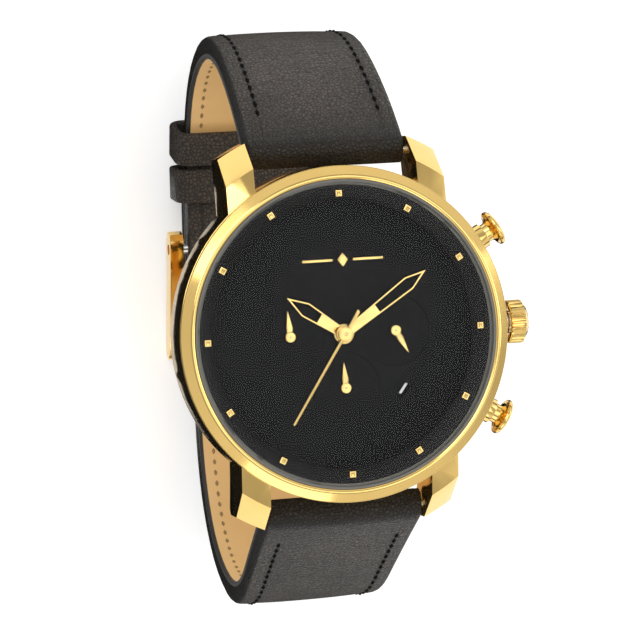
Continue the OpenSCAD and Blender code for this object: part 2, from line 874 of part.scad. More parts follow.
case_middle();
bezel();
crystal();
crystal_gasket();
chapter_ring();
hour_markers();
dial();
dial_ornament();
case_back();
case_back_gasket();
case_back_screws();
movement_ring();
main_plate();
train_bridge();
movement_screws();
circuit_board();
quartz_can();
battery();
motor_stators();
motor_coils();
time_rotor();
fifth_wheel();
fourth_wheel();
third_wheel();
centre_wheel();
cannon_pinion();
minute_wheel();
hour_wheel();
idler_wheel();
day_wheel();
chrono_rotor();
chrono_idler();
chrono_wheel();
counter_idler();
counter_wheel();
date_disc();
seconds_hand();
minute_hand();
hour_hand();
day_hand();
chrono_hand();
counter_hand();
crown();
winding_stem();
crown_gasket();
crown_tube();
pusher_2();
pusher_4();
pusher_tubes();
pusher_spring_2();
pusher_spring_4();
spring_bars();
strap_upper();
strap_lower();
strap_linings();
fixed_keeper();
free_keeper();
buckle_frame();
buckle_tongue();
buckle_bar();
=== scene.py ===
import json
import math

import bpy
from mathutils import Matrix, Vector


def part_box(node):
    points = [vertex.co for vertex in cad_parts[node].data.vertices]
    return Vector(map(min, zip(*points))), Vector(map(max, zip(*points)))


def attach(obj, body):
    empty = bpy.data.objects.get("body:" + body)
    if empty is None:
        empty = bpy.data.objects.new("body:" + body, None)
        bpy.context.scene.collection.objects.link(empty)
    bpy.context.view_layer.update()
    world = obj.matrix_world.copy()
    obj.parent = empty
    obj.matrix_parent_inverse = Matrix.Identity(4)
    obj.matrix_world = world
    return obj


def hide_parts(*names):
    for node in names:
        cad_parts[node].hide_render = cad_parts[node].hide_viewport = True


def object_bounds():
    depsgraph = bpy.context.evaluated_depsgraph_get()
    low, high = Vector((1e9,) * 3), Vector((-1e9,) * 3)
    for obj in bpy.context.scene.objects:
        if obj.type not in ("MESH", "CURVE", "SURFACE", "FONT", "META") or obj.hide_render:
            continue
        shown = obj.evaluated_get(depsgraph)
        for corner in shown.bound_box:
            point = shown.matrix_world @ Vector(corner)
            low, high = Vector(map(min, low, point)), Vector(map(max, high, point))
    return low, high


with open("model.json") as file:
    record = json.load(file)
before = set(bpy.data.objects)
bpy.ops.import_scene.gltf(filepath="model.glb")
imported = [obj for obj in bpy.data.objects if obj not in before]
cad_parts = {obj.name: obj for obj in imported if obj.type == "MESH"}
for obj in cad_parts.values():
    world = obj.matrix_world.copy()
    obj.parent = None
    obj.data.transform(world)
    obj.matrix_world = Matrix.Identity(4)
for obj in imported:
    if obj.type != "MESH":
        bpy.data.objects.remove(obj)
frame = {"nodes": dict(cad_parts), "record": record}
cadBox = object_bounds()
cadNodes = frame["nodes"]
mm = 0.001
print("frame loaded:", len(cadNodes), "CAD nodes")


# camera, floor, lights

viewpoint = {
    "place": (-0.10069, 0.02481, 0.39605),
    "right": (0.9656, -0.0506, 0.2551),
    "up": (0.0647, 0.9968, -0.0472),
    "lens": 168.75,
    "shift": (-0.0405, 0.0223),
}

studio = {
    "floorSize": 3.0,
    "floorColour": (0.93, 0.93, 0.93),
    "panels": [  # name, place, size, watts
        ("keyPanel", (-0.32, 0.34, 0.62), 0.42, 1.5),
        ("overheadPanel", (0.21, -0.06, 0.80), 0.62, 1.5),
        ("rightPanel", (0.62, 0.05, 0.30), 0.30, 0.5),
        ("frontPanel", (-0.10, -0.62, 0.40), 0.40, 0.6),
    ],
    "domeStrength": 0.95,
    "domeStops": [(0.0, 0.3), (0.47, 0.3), (0.5, 0.05), (0.55, 0.10),  # from nadir to zenith
                  (0.61, 0.95), (0.77, 1.0), (0.87, 0.6), (1.0, 0.45)],
    "floorGlow": 0.32,
    "flagRadii": (0.025, 0.070),
}


def deselectAll():
    if bpy.context.object is not None and bpy.context.object.mode != "OBJECT":
        bpy.ops.object.mode_set(mode="OBJECT")
    bpy.ops.object.select_all(action="DESELECT")


def setStops(ramp, stops):
    elements = ramp.color_ramp.elements
    while len(elements) < len(stops):
        elements.new(0.5)
    for element, (spot, grey) in zip(elements, stops):
        element.position = spot
        element.color = (grey, grey, grey, 1)


def addCamera():
    data = bpy.data.cameras.new("mainCamera")
    data.lens = viewpoint["lens"]
    data.shift_x, data.shift_y = viewpoint["shift"]
    data.clip_start = 0.01
    data.clip_end = 20
    camera = bpy.data.objects.new("mainCamera", data)
    bpy.context.scene.collection.objects.link(camera)
    right = Vector(viewpoint["right"]).normalized()
    up = Vector(viewpoint["up"])
    back = right.cross(up).normalized()
    up = back.cross(right).normalized()
    turn = Matrix((right, up, back)).transposed()
    camera.matrix_world = Matrix.Translation(viewpoint["place"]) @ turn.to_4x4()
    bpy.context.scene.camera = camera


def addFloor():
    deselectAll()
    lowest = cadBox[0].z
    bpy.ops.mesh.primitive_plane_add(size=studio["floorSize"], location=(0, 0, lowest - 0.0004))
    floor = bpy.context.object
    floor.name = "studioFloor"
    material = bpy.data.materials.new("paleFloor")
    material.use_nodes = True
    shader = material.node_tree.nodes["Principled BSDF"]
    shader.inputs["Base Color"].default_value = (*studio["floorColour"], 1)
    shader.inputs["Roughness"].default_value = 0.85
    shader.inputs["Emission Color"].default_value = (1, 1, 1, 1)
    shader.inputs["Emission Strength"].default_value = studio["floorGlow"]
    floor.data.materials.append(material)


def addFlag():
    # a black card laid round the foot, seen only in the metal, gives the case its dark sides
    deselectAll()
    lowest = cadBox[0].z
    inner, outer = studio["flagRadii"]
    bpy.ops.mesh.primitive_circle_add(vertices=64, radius=inner,
                                      location=(0, 0, lowest - 0.0003))
    flag = bpy.context.object
    flag.name = "studioFlag"
    bpy.ops.object.mode_set(mode="EDIT")
    bpy.ops.mesh.select_all(action="SELECT")
    bpy.ops.mesh.extrude_region_move()
    bpy.ops.transform.resize(value=(outer / inner, outer / inner, 1))
    bpy.ops.object.mode_set(mode="OBJECT")
    material = bpy.data.materials.new("blackCard")
    material.use_nodes = True
    shader = material.node_tree.nodes["Principled BSDF"]
    shader.inputs["Base Color"].default_value = (0.01, 0.01, 0.01, 1)
    shader.inputs["Roughness"].default_value = 0.9
    shader.inputs["Specular IOR Level"].default_value = 0.0
    flag.data.materials.append(material)
    for ray in ("camera", "diffuse", "shadow", "transmission"):
        setattr(flag, "visible_" + ray, False)


def addLights():
    target = Vector((0, 0, 0))
    for name, place, size, watts in studio["panels"]:
        data = bpy.data.lights.new(name, "AREA")
        data.shape = "SQUARE"
        data.size = size
        data.energy = watts
        lamp = bpy.data.objects.new(name, data)
        lamp.location = place
        lamp.rotation_mode = "QUATERNION"
        lamp.rotation_quaternion = (target - Vector(place)).to_track_quat("-Z", "Y")
        bpy.context.scene.collection.objects.link(lamp)
    world = bpy.data.worlds.new("studioDome")
    bpy.context.scene.world = world
    world.use_nodes = True
    tree = world.node_tree
    background = tree.nodes["Background"]
    place = tree.nodes.new("ShaderNodeTexCoord")
    split = tree.nodes.new("ShaderNodeSeparateXYZ")
    ramp = tree.nodes.new("ShaderNodeValToRGB")
    setStops(ramp, studio["domeStops"])
    lift = tree.nodes.new("ShaderNodeMath")
    lift.operation = "MULTIPLY_ADD"
    lift.inputs[1].default_value = 0.5
    lift.inputs[2].default_value = 0.5
    tree.links.new(place.outputs["Generated"], split.inputs[0])
    tree.links.new(split.outputs["Z"], lift.inputs[0])
    tree.links.new(lift.outputs[0], ramp.inputs[0])
    tree.links.new(ramp.outputs["Color"], background.inputs["Color"])
    background.inputs["Strength"].default_value = studio["domeStrength"]
    bpy.context.scene.view_settings.view_transform = "Standard"


addCamera()
addFloor()
addFlag()
addLights()
print("camera, floor and lights made")


# shader building

def addNode(tree, kind, **settings):
    node = tree.nodes.new("ShaderNode" + kind)
    for key, value in settings.items():
        if hasattr(node, key):
            setattr(node, key, value)
        else:
            node.inputs[key.replace("_", " ")].default_value = value
    return node


def wire(tree, *pairs):
    for source, target in pairs:
        tree.links.new(source, target)


def newGroup(name, inputs, outputs):
    group = bpy.data.node_groups.new(name, "ShaderNodeTree")
    for label, kind, value in inputs:
        socket = group.interface.new_socket(label, in_out="INPUT", socket_type="NodeSocket" + kind)
        if value is not None:
            socket.default_value = value
    for label, kind in outputs:
        group.interface.new_socket(label, in_out="OUTPUT", socket_type="NodeSocket" + kind)
    return group, group.nodes.new("NodeGroupInput"), group.nodes.new("NodeGroupOutput")


def useGroup(tree, name, **values):
    node = tree.nodes.new("ShaderNodeGroup")
    node.node_tree = bpy.data.node_groups[name]
    for key, value in values.items():
        node.inputs[key].default_value = value
    return node


def makePolishGroup():
    # cloudy polishing haze and fine hairlines, for plated and steel parts
    tree, entry, leave = newGroup(
        "polishMarks",
        [("Scale", "Float", 400.0), ("Depth", "Float", 0.02)],
        [("Haze", "Float"), ("Lines", "Float"), ("Normal", "Vector")],
    )
    place = addNode(tree, "TexCoord")
    haze = addNode(tree, "TexNoise", Detail=4.0, Roughness=0.6)
    squeeze = addNode(tree, "Mapping", Scale=(1.0, 14.0, 6.0), Rotation=(0.3, 0.5, 0.7))
    lines = addNode(tree, "TexNoise", Detail=3.0, Roughness=0.7)
    faster = addNode(tree, "Math", operation="MULTIPLY")
    faster.inputs[1].default_value = 3.0
    thin = addNode(tree, "ValToRGB")
    setStops(thin, [(0.48, 0.0), (0.5, 1.0), (0.52, 0.0)])
    bump = addNode(tree, "Bump", Distance=0.00002)
    wire(
        tree,
        (place.outputs["Object"], haze.inputs["Vector"]),
        (entry.outputs["Scale"], haze.inputs["Scale"]),
        (place.outputs["Object"], squeeze.inputs["Vector"]),
        (squeeze.outputs[0], lines.inputs["Vector"]),
        (entry.outputs["Scale"], faster.inputs[0]),
        (faster.outputs[0], lines.inputs["Scale"]),
        (lines.outputs["Fac"], thin.inputs[0]),
        (haze.outputs["Fac"], bump.inputs["Height"]),
        (entry.outputs["Depth"], bump.inputs["Strength"]),
        (haze.outputs["Fac"], leave.inputs["Haze"]),
        (thin.outputs["Color"], leave.inputs["Lines"]),
        (bump.outputs[0], leave.inputs["Normal"]),
    )


def makeTurnedGroup():
    # rings of a lathe tool about an axis parallel to Z
    tree, entry, leave = newGroup(
        "turnedRings",
        [("Centre", "Vector", (0, 0, 0)), ("Pitch", "Float", 4000.0), ("Depth", "Float", 0.1)],
        [("Rings", "Float"), ("Normal", "Vector")],
    )
    place = addNode(tree, "TexCoord")
    shift = addNode(tree, "VectorMath", operation="SUBTRACT")
    flat = addNode(tree, "VectorMath", operation="MULTIPLY")
    flat.inputs[1].default_value = (1, 1, 0)
    far = addNode(tree, "VectorMath", operation="LENGTH")
    grow = addNode(tree, "Math", operation="MULTIPLY")
    noise = addNode(tree, "TexNoise", noise_dimensions="1D", Scale=1.0, Detail=2.0)
    bump = addNode(tree, "Bump", Distance=0.00002)
    wire(
        tree,
        (place.outputs["Object"], shift.inputs[0]),
        (entry.outputs["Centre"], shift.inputs[1]),
        (shift.outputs[0], flat.inputs[0]),
        (flat.outputs[0], far.inputs[0]),
        (far.outputs["Value"], grow.inputs[0]),
        (entry.outputs["Pitch"], grow.inputs[1]),
        (grow.outputs[0], noise.inputs["W"]),
        (noise.outputs["Fac"], bump.inputs["Height"]),
        (entry.outputs["Depth"], bump.inputs["Strength"]),
        (noise.outputs["Fac"], leave.inputs["Rings"]),
        (bump.outputs[0], leave.inputs["Normal"]),
    )


def makeGrainGroup():
    # pebbled leather: cells with creases between them, over soft wrinkles
    tree, entry, leave = newGroup(
        "leatherGrain",
        [("Cells", "Float", 1700.0), ("Wrinkles", "Float", 260.0), ("Depth", "Float", 0.5)],
        [("Height", "Float"), ("Creases", "Float"), ("Clouds", "Float"), ("Normal", "Vector")],
    )
    place = addNode(tree, "TexCoord")
    warp = addNode(tree, "TexNoise", Scale=900.0, Detail=2.0)
    spread = addNode(tree, "VectorMath", operation="MULTIPLY_ADD")
    spread.inputs[1].default_value = (0.0005, 0.0005, 0.0005)
    cells = addNode(tree, "TexVoronoi", feature="DISTANCE_TO_EDGE", Randomness=0.9)
    edges = addNode(tree, "ValToRGB")
    setStops(edges, [(0.0, 0.2), (0.05, 0.35), (0.2, 0.9), (0.5, 1.0)])
    wrinkles = addNode(tree, "TexNoise", Detail=5.0, Roughness=0.62, Distortion=0.9)
    fold = addNode(tree, "ValToRGB")
    setStops(fold, [(0.42, 1.0), (0.5, 0.2), (0.58, 1.0)])
    clouds = addNode(tree, "TexNoise", Scale=55.0, Detail=2.0)
    total = addNode(tree, "Math", operation="MULTIPLY_ADD")
    total.inputs[1].default_value = 0.55
    bump = addNode(tree, "Bump", Distance=0.00016)
    wire(
        tree,
        (place.outputs["Object"], warp.inputs["Vector"]),
        (warp.outputs["Color"], spread.inputs[0]),
        (place.outputs["Object"], spread.inputs[2]),
        (spread.outputs[0], cells.inputs["Vector"]),
        (entry.outputs["Cells"], cells.inputs["Scale"]),
        (cells.outputs["Distance"], edges.inputs[0]),
        (place.outputs["Object"], wrinkles.inputs["Vector"]),
        (entry.outputs["Wrinkles"], wrinkles.inputs["Scale"]),
        (wrinkles.outputs["Fac"], fold.inputs[0]),
        (place.outputs["Object"], clouds.inputs["Vector"]),
        (fold.outputs["Color"], total.inputs[0]),
        (edges.outputs["Color"], total.inputs[2]),
        (total.outputs[0], bump.inputs["Height"]),
        (entry.outputs["Depth"], bump.inputs["Strength"]),
        (total.outputs[0], leave.inputs["Height"]),
        (edges.outputs["Color"], leave.inputs["Creases"]),
        (clouds.outputs["Fac"], leave.inputs["Clouds"]),
        (bump.outputs[0], leave.inputs["Normal"]),
    )


makePolishGroup()
makeTurnedGroup()
makeGrainGroup()


def newMaterial(name, metallic=0.0, **sockets):
    material = bpy.data.materials.new(name)
    material.use_nodes = True
    tree = material.node_tree
    shader = tree.nodes["Principled BSDF"]
    shader.inputs["Metallic"].default_value = metallic
    for key, value in sockets.items():
        shader.inputs[key.replace("_", " ")].default_value = value
    return material, tree, shader


def mixColours(tree, factor, first, second):
    mix = addNode(tree, "Mix", data_type="RGBA")
    mix.inputs["A"].default_value = (*first, 1)
    mix.inputs["B"].default_value = (*second, 1)
    tree.links.new(factor, mix.inputs["Factor"])
    return mix.outputs["Result"]


def remap(tree, value, low, high):
    scale = addNode(tree, "MapRange")
    scale.inputs["To Min"].default_value = low
    scale.inputs["To Max"].default_value = high
    tree.links.new(value, scale.inputs["Value"])
    return scale.outputs["Result"]


def setRange(node, low, high):
    node.inputs["From Min"].default_value = low
    node.inputs["From Max"].default_value = high


def platedMetal(name, light, dark, roughness, scale=260.0, depth=0.05):
    # polished or satin metal: haze changes the gloss and the tone
    material, tree, shader = newMaterial(name, metallic=1.0)
    marks = useGroup(tree, "polishMarks", Scale=scale, Depth=depth)
    wire(
        tree,
        (mixColours(tree, remap(tree, marks.outputs["Haze"], 0.0, 0.7), light, dark),
         shader.inputs["Base Color"]),
        (remap(tree, marks.outputs["Haze"], roughness * 0.7, roughness * 1.35),
         shader.inputs["Roughness"]),
        (marks.outputs["Normal"], shader.inputs["Normal"]),
    )
    return material


def turnedMetal(name, light, dark, roughness, centre=(0, 0, 0), pitch=9000.0, depth=0.25):
    material, tree, shader = newMaterial(name, metallic=1.0)
    rings = useGroup(tree, "turnedRings", Centre=centre, Pitch=pitch, Depth=depth)
    wire(
        tree,
        (mixColours(tree, rings.outputs["Rings"], light, dark), shader.inputs["Base Color"]),
        (remap(tree, rings.outputs["Rings"], roughness * 0.8, roughness * 1.3),
         shader.inputs["Roughness"]),
        (rings.outputs["Normal"], shader.inputs["Normal"]),
    )
    return material


def mouldedPlastic(name, light, dark, roughness, scale=1500.0, depth=0.25, **sockets):
    material, tree, shader = newMaterial(name, **sockets)
    marks = useGroup(tree, "polishMarks", Scale=scale, Depth=depth)
    wire(
        tree,
        (mixColours(tree, marks.outputs["Haze"], light, dark), shader.inputs["Base Color"]),
        (remap(tree, marks.outputs["Haze"], roughness * 0.85, roughness * 1.15),
         shader.inputs["Roughness"]),
        (marks.outputs["Normal"], shader.inputs["Normal"]),
    )
    return material


def windingMaterial():
    # enamelled wire, a fine ribbing across the coil; the colour follows the ribbing, darker in the
    # grooves between turns as painted shade
    material, tree, shader = newMaterial("copperWinding", Coat_Weight=0.5)
    place = addNode(tree, "TexCoord")
    wave = addNode(tree, "TexWave", Scale=2600.0, Distortion=1.2, Detail=1.0)
    bump = addNode(tree, "Bump", Strength=0.6, Distance=0.00004)
    wire(
        tree,
        (place.outputs["Object"], wave.inputs["Vector"]),
        (wave.outputs["Fac"], bump.inputs["Height"]),
        # painted shade: darker in the grooves between turns, lighter on their crowns
        (mixColours(tree, wave.outputs["Fac"], (0.16, 0.05, 0.015), (0.5, 0.2, 0.07)),
         shader.inputs["Base Color"]),
        (remap(tree, wave.outputs["Fac"], 0.45, 0.3), shader.inputs["Roughness"]),
        (bump.outputs[0], shader.inputs["Normal"]),
    )
    return material


def boardMaterial():
    # solder mask over tracks
    material, tree, shader = newMaterial("greenBoard", Coat_Weight=0.4)
    place = addNode(tree, "TexCoord")
    tracks = addNode(tree, "TexVoronoi", feature="DISTANCE_TO_EDGE", Scale=420.0)
    mask = addNode(tree, "ValToRGB")
    setStops(mask, [(0.0, 1.0), (0.05, 1.0), (0.07, 0.0)])
    bump = addNode(tree, "Bump", Strength=0.4, Distance=0.00003)
    wire(
        tree,
        (place.outputs["Object"], tracks.inputs["Vector"]),
        (tracks.outputs["Distance"], mask.inputs[0]),
        (mask.outputs["Color"], bump.inputs["Height"]),
        (mixColours(tree, mask.outputs["Color"], (0.012, 0.1, 0.04), (0.05, 0.22, 0.09)),
         shader.inputs["Base Color"]),
        (remap(tree, mask.outputs["Color"], 0.4, 0.25), shader.inputs["Roughness"]),
        (bump.outputs[0], shader.inputs["Normal"]),
    )
    return material


glassShine = 0.16  # share of the full gloss that the coated glass keeps


def crystalMaterial():
    # thin clear glass: only the gloss is seen, and more of it at a slant
    material, tree, shader = newMaterial("clearCrystal", metallic=1.0, IOR=1.5)
    shader.inputs["Base Color"].default_value = (1, 1, 1, 1)
    marks = useGroup(tree, "polishMarks", Scale=500.0, Depth=0.01)
    clear = addNode(tree, "BsdfTransparent")
    slant = addNode(tree, "Fresnel", IOR=1.35)
    share = addNode(tree, "Math", operation="MULTIPLY")
    share.inputs[1].default_value = glassShine
    blend = addNode(tree, "MixShader")
    wire(
        tree,
        (remap(tree, marks.outputs["Lines"], 0.02, 0.06), shader.inputs["Roughness"]),
        (slant.outputs[0], share.inputs[0]),
        (share.outputs[0], blend.inputs[0]),
        (clear.outputs[0], blend.inputs[1]),
        (shader.outputs[0], blend.inputs[2]),
        (blend.outputs[0], tree.nodes["Material Output"].inputs["Surface"]),
    )
    return material


def dialMaterial():
    # matte lacquer with a dust-fine grain
    material, tree, shader = newMaterial("matteDial", Specular_IOR_Level=0.08)
    place = addNode(tree, "TexCoord")
    dust = addNode(tree, "TexNoise", Scale=9000.0, Detail=2.0)
    clouds = addNode(tree, "TexNoise", Scale=60.0, Detail=1.0)
    bump = addNode(tree, "Bump", Strength=0.25, Distance=0.00001)
    wire(
        tree,
        (place.outputs["Object"], dust.inputs["Vector"]),
        (place.outputs["Object"], clouds.inputs["Vector"]),
        (dust.outputs["Fac"], bump.inputs["Height"]),
        (mixColours(tree, dust.outputs["Fac"], (0.0045, 0.0045, 0.0048), (0.0075, 0.0075, 0.0078)),
         shader.inputs["Base Color"]),
        (remap(tree, clouds.outputs["Fac"], 0.5, 0.6), shader.inputs["Roughness"]),
        (bump.outputs[0], shader.inputs["Normal"]),
    )
    return material


leatherLook = {
    # the dark colour fills the creases between the pebbles, as painted shade
    "dark": (0.008, 0.007, 0.006),
    "light": (0.150, 0.124, 0.100),
    "edge": (0.014, 0.013, 0.012),
    "lugShadeLength": 0.0075,  # length of the zone at the lug where the leather is darkened as painted shade
    "roughness": 0.40,
    "edgeZone": (0.974, 0.99),  # share of the half width, as the seam's place and width
    # the seam keys lay a band of painted shade along the stitch channel: its place, width, start
    # along the strap and strength
    "seamAt": 0.785,
    "seamWidth": (0.016, 0.036),
    "seamFrom": (0.0064, 0.0070),
    "seamShadeStrength": 0.6,
}


def leatherMaterial():
    # the strapMap layer holds the share across and the metres along, so zones follow the strap
    material, tree, shader = newMaterial("charcoalLeather", Specular_IOR_Level=0.24)
    grain = useGroup(tree, "leatherGrain", Cells=1850.0, Depth=1.0)
    chart = addNode(tree, "UVMap", uv_map="strapMap")
    split = addNode(tree, "SeparateXYZ")
    across = addNode(tree, "Math", operation="ABSOLUTE")
    edge = addNode(tree, "MapRange")
    setRange(edge, *leatherLook["edgeZone"])
    # painted shade: the leather is darkened over the last few mm towards the lug
    lugEndShade = addNode(tree, "MapRange", interpolation_type="SMOOTHSTEP")
    setRange(lugEndShade, leatherLook["lugShadeLength"], 0.0005)
    rough = remap(tree, grain.outputs["Creases"], leatherLook["roughness"] * 1.3,
                  leatherLook["roughness"] * 0.85)
    # painted shade: the creases between the pebbles take the dark colour and the pebble tops the
    # light one, under slow clouds of tone
    body = addNode(tree, "Mix", data_type="RGBA")
    body.inputs["A"].default_value = (*leatherLook["dark"], 1)
    body.inputs["B"].default_value = (*leatherLook["light"], 1)
    creaseShadeAndClouds = addNode(tree, "Math", operation="MULTIPLY")
    shade = addNode(tree, "Mix", data_type="RGBA")
    shade.inputs["B"].default_value = (*leatherLook["edge"], 1)
    # whichever is darker: the painted shade at the lug or the real painted edge
    lugShadeOrEdgePaint = addNode(tree, "Math", operation="MAXIMUM")
    # painted shade: a dark band along each stitch channel, from a little way along the strap
    beside = addNode(tree, "Math", operation="SUBTRACT")
    beside.inputs[1].default_value = leatherLook["seamAt"]
    offSeam = addNode(tree, "Math", operation="ABSOLUTE")
    seamChannelShade = addNode(tree, "MapRange")
    setRange(seamChannelShade, *leatherLook["seamWidth"])
    seamChannelShade.inputs["To Min"].default_value = leatherLook["seamShadeStrength"]
    seamChannelShade.inputs["To Max"].default_value = 0.0
    started = addNode(tree, "MapRange")
    setRange(started, *leatherLook["seamFrom"])
    seam = addNode(tree, "Math", operation="MULTIPLY")
    darkest = addNode(tree, "Math", operation="MAXIMUM")
    soften = addNode(tree, "Math", operation="MULTIPLY")
    soften.inputs[1].default_value = 0.75
    wire(
        tree,
        (chart.outputs["UV"], split.inputs[0]),
        (split.outputs["X"], across.inputs[0]),
        (across.outputs[0], edge.inputs["Value"]),
        (split.outputs["Y"], lugEndShade.inputs["Value"]),
        (grain.outputs["Creases"], creaseShadeAndClouds.inputs[0]),
        (grain.outputs["Clouds"], creaseShadeAndClouds.inputs[1]),
        (creaseShadeAndClouds.outputs[0], body.inputs["Factor"]),
        (body.outputs["Result"], shade.inputs["A"]),
        (lugEndShade.outputs["Result"], soften.inputs[0]),
        (soften.outputs[0], lugShadeOrEdgePaint.inputs[0]),
        (edge.outputs["Result"], lugShadeOrEdgePaint.inputs[1]),
        (across.outputs[0], beside.inputs[0]),
        (beside.outputs[0], offSeam.inputs[0]),
        (offSeam.outputs[0], seamChannelShade.inputs["Value"]),
        (split.outputs["Y"], started.inputs["Value"]),
        (seamChannelShade.outputs["Result"], seam.inputs[0]),
        (started.outputs["Result"], seam.inputs[1]),
        (seam.outputs[0], darkest.inputs[0]),
        (lugShadeOrEdgePaint.outputs[0], darkest.inputs[1]),
        (darkest.outputs[0], shade.inputs["Factor"]),
        (shade.outputs["Result"], shader.inputs["Base Color"]),
        (rough, shader.inputs["Roughness"]),
        (grain.outputs["Normal"], shader.inputs["Normal"]),
    )
    return material


def liningMaterial():
    # smooth tan lining: fine pores and slow stains
    material, tree, shader = newMaterial("tanLining", Sheen_Weight=0.1)
    grain = useGroup(tree, "leatherGrain", Cells=3000.0, Wrinkles=120.0, Depth=0.16)
    chart = addNode(tree, "UVMap", uv_map="strapMap")
    split = addNode(tree, "SeparateXYZ")
    across = addNode(tree, "Math", operation="ABSOLUTE")
    rim = addNode(tree, "MapRange")
    setRange(rim, 0.945, 0.955)  # the painted edge begins here, as a share of the half width
    painted = addNode(tree, "Mix", data_type="RGBA")
    painted.inputs["B"].default_value = (*leatherLook["edge"], 1)
    wire(
        tree,
        (chart.outputs["UV"], split.inputs[0]),
        (split.outputs["X"], across.inputs[0]),
        (across.outputs[0], rim.inputs["Value"]),
        (rim.outputs["Result"], painted.inputs["Factor"]),
        (mixColours(tree, grain.outputs["Clouds"], (0.70, 0.43, 0.16), (0.84, 0.56, 0.24)),
         painted.inputs["A"]),
        (painted.outputs["Result"], shader.inputs["Base Color"]),
        (remap(tree, grain.outputs["Height"], 0.62, 0.5), shader.inputs["Roughness"]),
        (grain.outputs["Normal"], shader.inputs["Normal"]),
    )
    return material


def threadMaterial(name, light, dark):
    # twisted waxed thread; its colour is darker in the grooves of the twist as painted shade
    material, tree, shader = newMaterial(name, Specular_IOR_Level=0.05)
    place = addNode(tree, "TexCoord")
    wave = addNode(tree, "TexWave", bands_direction="DIAGONAL", Scale=3600.0, Distortion=1.0)
    bump = addNode(tree, "Bump", Strength=0.8, Distance=0.00005)
    wire(
        tree,
        (place.outputs["Object"], wave.inputs["Vector"]),
        (wave.outputs["Fac"], bump.inputs["Height"]),
        # painted shade: darker in the grooves of the twist
        (mixColours(tree, wave.outputs["Fac"], dark, light),
         shader.inputs["Base Color"]),
        (remap(tree, wave.outputs["Fac"], 0.9, 0.8), shader.inputs["Roughness"]),
        (bump.outputs[0], shader.inputs["Normal"]),
    )
    return material


batteryCentre = (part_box("battery")[0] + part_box("battery")[1]) / 2

finishes = {
    "gold_case": platedMetal("polishedGold", (0.88, 0.62, 0.22), (0.78, 0.51, 0.15), 0.12),
    "hand_gold": platedMetal("handGold", (0.88, 0.64, 0.25), (0.78, 0.53, 0.17), 0.24, 500, 0.1),
    "crystal_glass": crystalMaterial(),
    "gasket_nylon": mouldedPlastic("clearNylon", (0.16, 0.155, 0.13), (0.11, 0.105, 0.09), 0.4),
    "gasket_rubber": mouldedPlastic("sealRubber", (0.012, 0.012, 0.012), (0.02, 0.02, 0.02), 0.6),
    "dial_black": dialMaterial(),
    "ring_black": mouldedPlastic("satinRing", (0.005, 0.005, 0.005), (0.008, 0.008, 0.008), 0.45,
                                 Specular_IOR_Level=0.2),
    "movement_plastic": mouldedPlastic("ivoryPlastic", (0.62, 0.59, 0.5), (0.52, 0.5, 0.42), 0.5),
    "plate_metal": turnedMetal("turnedPlate", (0.74, 0.74, 0.72), (0.6, 0.6, 0.59), 0.3),
    "wheel_brass": turnedMetal("turnedBrass", (0.78, 0.6, 0.28), (0.62, 0.45, 0.18), 0.28),
    "rotor_dark": platedMetal("rotorSteel", (0.3, 0.3, 0.32), (0.18, 0.18, 0.2), 0.4),
    "stator_metal": platedMetal("statorSheet", (0.55, 0.55, 0.55), (0.42, 0.42, 0.42), 0.38),
    "coil_copper": windingMaterial(),
    "board_green": boardMaterial(),
    "steel": platedMetal("fineSteel", (0.68, 0.68, 0.69), (0.52, 0.52, 0.54), 0.24),
    "battery_steel": turnedMetal("cellSteel", (0.8, 0.8, 0.81), (0.66, 0.66, 0.67), 0.22,
                                 tuple(batteryCentre), 16000.0),
    "leather_black": leatherMaterial(),
    "leather_tan": liningMaterial(),
}
finishes["gold_trim"] = finishes["gold_case"]
thread = threadMaterial("blackThread", (0.010, 0.0095, 0.009), (0.003, 0.003, 0.003))
tanThread = threadMaterial("tanThread", (0.50, 0.34, 0.16), (0.20, 0.12, 0.05))
numeralPaint = mouldedPlastic("numeralPaint", (0.86, 0.86, 0.84), (0.78, 0.78, 0.76), 0.5)

nodeSlot = {part["node"]: part["material_slot"] for part in frame["record"]["subparts"]}
for name, node in cadNodes.items():
    finish = finishes[nodeSlot[name]]
    if not node.material_slots:
        node.data.materials.append(finish)
    for place in node.material_slots:
        place.material = finish
print("materials made and put on the CAD nodes")


# modelling helpers

def beginEdit(piece, mode="VERT"):
    deselectAll()
    piece.select_set(True)
    bpy.context.view_layer.objects.active = piece
    bpy.ops.object.mode_set(mode="EDIT")
    bpy.ops.mesh.select_mode(type=mode)
    bpy.ops.mesh.select_all(action="SELECT")


def endEdit():
    bpy.ops.object.mode_set(mode="OBJECT")


def applyModifier(piece, kind, **settings):
    deselectAll()
    piece.select_set(True)
    bpy.context.view_layer.objects.active = piece
    modifier = piece.modifiers.new(kind.lower(), kind)
    for key, value in settings.items():
        setattr(modifier, key, value)
    bpy.ops.object.modifier_apply(modifier=modifier.name)


def smoothByAngle(piece, degrees=32):
    deselectAll()
    piece.select_set(True)
    bpy.context.view_layer.objects.active = piece
    bpy.ops.object.shade_smooth_by_angle(angle=math.radians(degrees))


def finishPiece(piece, body, material, slotName, *replaced):
    piece.data.materials.clear()
    piece.data.materials.append(material)
    deselectAll()
    piece.select_set(True)
    bpy.context.view_layer.objects.active = piece
    bpy.ops.object.transform_apply(location=True, rotation=True, scale=True)
    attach(piece, body)
    if replaced:
        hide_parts(*replaced)
    return piece


